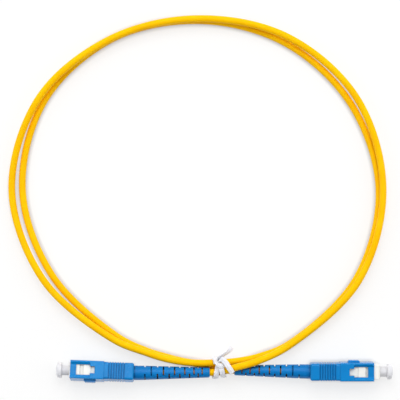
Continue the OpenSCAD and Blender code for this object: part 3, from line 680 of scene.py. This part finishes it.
def streaked(name, sockets, tones, streak_mm):
    """A yarn or a buffer, with long streaks that are streak_mm wide."""
    finish, tree, shader, place = start_finish(name, sockets)
    stretched = add(tree, "Mapping", inputs={"Vector": place, "Scale": (1 / STREAK_LENGTH, 1, 1)})
    streaks = add(tree, "TexNoise", inputs={
        "Vector": stretched.outputs["Vector"], "Scale": repeats(streak_mm), "Detail": 2.0})
    tone = add(tree, "Mix", {"data_type": "RGBA"}, {
        0: streaks.outputs["Fac"], 6: linear(tones[0]), 7: linear(tones[1])})
    bump = add(tree, "Bump", inputs={
        "Height": streaks.outputs["Fac"], "Distance": STREAK_DEPTH_MM * MM})
    tree.links.new(tone.outputs[2], shader.inputs["Base Color"])
    tree.links.new(bump.outputs["Normal"], shader.inputs["Normal"])
    return finish


aramid_yarn = streaked("aramid_yarn", {"Roughness": 0.6, "Sheen Weight": 0.3},
                       ("#D9BE63", "#EBD88C"), 0.2)
nylon_buffer = streaked("nylon_buffer", {"Roughness": 0.35}, ("#F5EDBE", "#FBF6D6"), 0.3)
print(aramid_yarn.name, nylon_buffer.name)

# %% [markdown]
# ## Dress the pieces
#
# Each kind of piece in the model's record has one finish, so both plugs share them.

# %% Finishes by kind of piece
finishes = {
    "jacket": extruded_pvc, "yarn": aramid_yarn, "fibre_buffer": nylon_buffer, "tie": white_pe,
    "sleeve": polished_pbt, "frame": natural_pbt, "ferrule": polished_zirconia,
    "flange": stainless_steel, "spring": drawn_wire, "rear_body": nickel_plate,
    "crimp": crimped_brass, "boot": moulded_tpe, "cap": milky_ldpe,
}
cable.data.materials.append(extruded_pvc)
yarn.data.materials.append(aramid_yarn)
fibre.data.materials.append(nylon_buffer)
tie.data.materials.append(white_pe)
for part in frame["record"]["subparts"]:
    node, slot = frame["nodes"][part["node"]], part["material_slot"]
    node.data.materials.clear()
    node.data.materials.append(finishes[slot])

# %% [markdown]
# ## The springs
#
# Behind each ferrule's collar a steel spring is squeezed when the ferrule is pushed in, and its
# rear end rests on the rear body. A copy of the CAD node's mesh, with a mesh of its own, stands in
# for it on the cord's body, and the node itself is hidden.

for side, (nose, slant, _) in (("left", LEFT_PLUG), ("right", RIGHT_PLUG)):
    node = frame["nodes"][side + "_spring"]
    coil = bpy.data.objects.new(side + "_coil", node.data.copy())
    bpy.context.scene.collection.objects.link(coil)
    coil.matrix_world = node.matrix_world
    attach(coil, "cord")
    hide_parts(side + "_spring")
    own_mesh(coil)
    print(coil.name, "has", len(coil.data.polygons), "faces")

# %% [markdown]
# ## Floor, world and light
#
# A product picture like this is taken on a sheet of white paper, in a white tent with one big
# soft lamp. The paper shows its own white to the eye and to glossy pieces, and takes the light
# and the shadows for the rest. The share between the two sets how dark the shadows are. Its own
# white would also shine out from right under a piece, so Ambient Occlusion takes it back there:
# a painted contact shadow, the thin dark line where a piece touches the paper.

# %% White paper
PAPER_WHITE = "#FDFDFD"
SHADOWLESS = 0.7              # the share of the paper that shows its white whatever the light
CONTACT_MM = 1.8              # how far from a piece its painted contact shadow reaches
CONTACT_DARKEST = 0.15        # what is left of the paper's own white right under a piece
FLOOR_RADIUS = 4              # metres, wide enough to fill every view
FLOOR_DROP_MM = 0.02          # keeps the paper clear of the faces that stand on it

paper, paper_tree, paper_shader, _ = start_finish("white_paper", {
    "Base Color": linear(PAPER_WHITE), "Roughness": 0.9, "Specular IOR Level": 0.1})
ray = add(paper_tree, "LightPath")
eye = add(paper_tree, "Math", {"operation": "MAXIMUM"}, {
    0: ray.outputs["Is Camera Ray"], 1: ray.outputs["Is Glossy Ray"]})
seen = add(paper_tree, "Math", {"operation": "MAXIMUM"}, {
    0: eye.outputs[0], 1: ray.outputs["Is Transmission Ray"]})
share = add(paper_tree, "Math", {"operation": "MULTIPLY"}, {0: seen.outputs[0], 1: SHADOWLESS})
# Painted contact shadow: Ambient Occlusion dims the paper's own white near a piece.
openness = add(paper_tree, "AmbientOcclusion", {"samples": 16}, {"Distance": CONTACT_MM * MM})
contact = add(paper_tree, "MapRange", inputs={
    "Value": openness.outputs["AO"], "To Min": CONTACT_DARKEST})
own_white = add(paper_tree, "Emission", inputs={
    "Color": linear(PAPER_WHITE), "Strength": contact.outputs["Result"]})
mixed = add(paper_tree, "MixShader", inputs={
    0: share.outputs[0], 1: paper_shader.outputs[0], 2: own_white.outputs[0]})
paper_tree.links.new(mixed.outputs[0], paper_tree.nodes["Material Output"].inputs["Surface"])

floor_mesh = bmesh.new()
bmesh.ops.create_circle(floor_mesh, cap_ends=True, segments=96, radius=FLOOR_RADIUS)
floor_data = bpy.data.meshes.new("floor")
floor_mesh.to_mesh(floor_data)
floor_mesh.free()
floor = bpy.data.objects.new("floor", floor_data)
floor.location.z = -FLOOR_DROP_MM * MM
bpy.context.scene.collection.objects.link(floor)
floor.data.materials.append(paper)
print("floor:", floor.name)

# %% [markdown]
# The tent is the world. The eye sees it white. Glossy pieces mirror its bright roof on the far
# side, and a dim room elsewhere, so that level faces and near sides keep their full colour.
# As light on matt surfaces it is soft and comes more from the far side too.

# %% White tent
FILL_LEVEL = 0.5              # the tent's light on level matt surfaces
FILL_LEAN = 0.85              # how much more of it comes from the far side than from overhead
DIM_ROOM = 0.03               # what glossy pieces mirror away from the roof
ROOF_EDGE = (-0.04, 0.06)     # the roof's near edge fades in between these y of a direction
ROOF_END = (0.25, 0.85)       # its far end fades out from the larger z to the smaller one

world = bpy.data.worlds.new("tent")
bpy.context.scene.world = world
world.use_nodes = True
tent = world.node_tree
tent.nodes.clear()
sight = add(tent, "TexCoord").outputs["Generated"]
direction = add(tent, "SeparateXYZ", inputs={"Vector": sight})
near_edge = add(tent, "MapRange", inputs={
    "Value": direction.outputs["Y"], "From Min": ROOF_EDGE[0], "From Max": ROOF_EDGE[1]})
far_edge = add(tent, "MapRange", inputs={
    "Value": direction.outputs["Z"], "From Min": ROOF_END[0], "From Max": ROOF_END[1]})
roof = add(tent, "Math", {"operation": "MULTIPLY"}, {
    0: near_edge.outputs["Result"], 1: far_edge.outputs["Result"]})
mirror = add(tent, "MapRange", inputs={"Value": roof.outputs[0], "To Min": DIM_ROOM, "To Max": 1.0})
leaning = add(tent, "MapRange", inputs={
    "Value": direction.outputs["Y"], "From Min": -1.0,
    "To Min": FILL_LEVEL * (1 - FILL_LEAN), "To Max": FILL_LEVEL * (1 + FILL_LEAN)})
white = add(tent, "Background", inputs={"Color": linear(PAPER_WHITE), "Strength": 1.0})
mirrored = add(tent, "Background", inputs={
    "Color": linear(PAPER_WHITE), "Strength": mirror.outputs["Result"]})
fill = add(tent, "Background", inputs={
    "Color": linear("#FFFFFF"), "Strength": leaning.outputs["Result"]})
ray = add(tent, "LightPath")
for_gloss = add(tent, "MixShader", inputs={
    0: ray.outputs["Is Glossy Ray"], 1: white.outputs[0], 2: mirrored.outputs[0]})
for_matt = add(tent, "MixShader", inputs={
    0: ray.outputs["Is Diffuse Ray"], 1: for_gloss.outputs[0], 2: fill.outputs[0]})
add(tent, "OutputWorld", inputs={"Surface": for_matt.outputs[0]})
print("tent level", FILL_LEVEL)

# %% [markdown]
# The main lamp is a soft square behind the far side of the cord, so each strand is brighter on
# that side. Two soft boxes stand close by on the left and on the right. Each strand gets more
# from the nearer one, which makes the outer side of the ring brighter than the inner side. A
# lamp's power is worked out from its distance and its tilt, so that the same share gives the
# level paper the same light from anywhere.

# %% Soft lamps


def soft_lamp(name, azimuth, tilt, distance, size, share):
    """A square lamp aimed at the middle of the ring. Azimuth 0 is +X, tilt is from overhead."""
    data = bpy.data.lights.new(name, "AREA")
    data.shape = "SQUARE"
    data.size = size
    data.energy = share * 4 * math.pi * distance ** 2 / math.cos(math.radians(tilt))
    spin, lean = math.radians(azimuth), math.radians(tilt)
    towards = Vector((
        math.sin(lean) * math.cos(spin), math.sin(lean) * math.sin(spin), math.cos(lean)))
    lamp = bpy.data.objects.new(name, data)
    lamp.location = LOOK_AT + distance * towards
    lamp.rotation_euler = towards.to_track_quat("Z", "Y").to_euler()
    lamp.visible_glossy = False         # the tent's roof is what shows in reflections
    bpy.context.scene.collection.objects.link(lamp)
    print(name, round(data.energy, 2), "W")


soft_lamp("main_lamp", azimuth=90, tilt=33, distance=1.0, size=0.6, share=0.3)
soft_lamp("left_box", azimuth=180, tilt=52, distance=0.5, size=0.35, share=0.1)
soft_lamp("right_box", azimuth=0, tilt=52, distance=0.5, size=0.35, share=0.1)
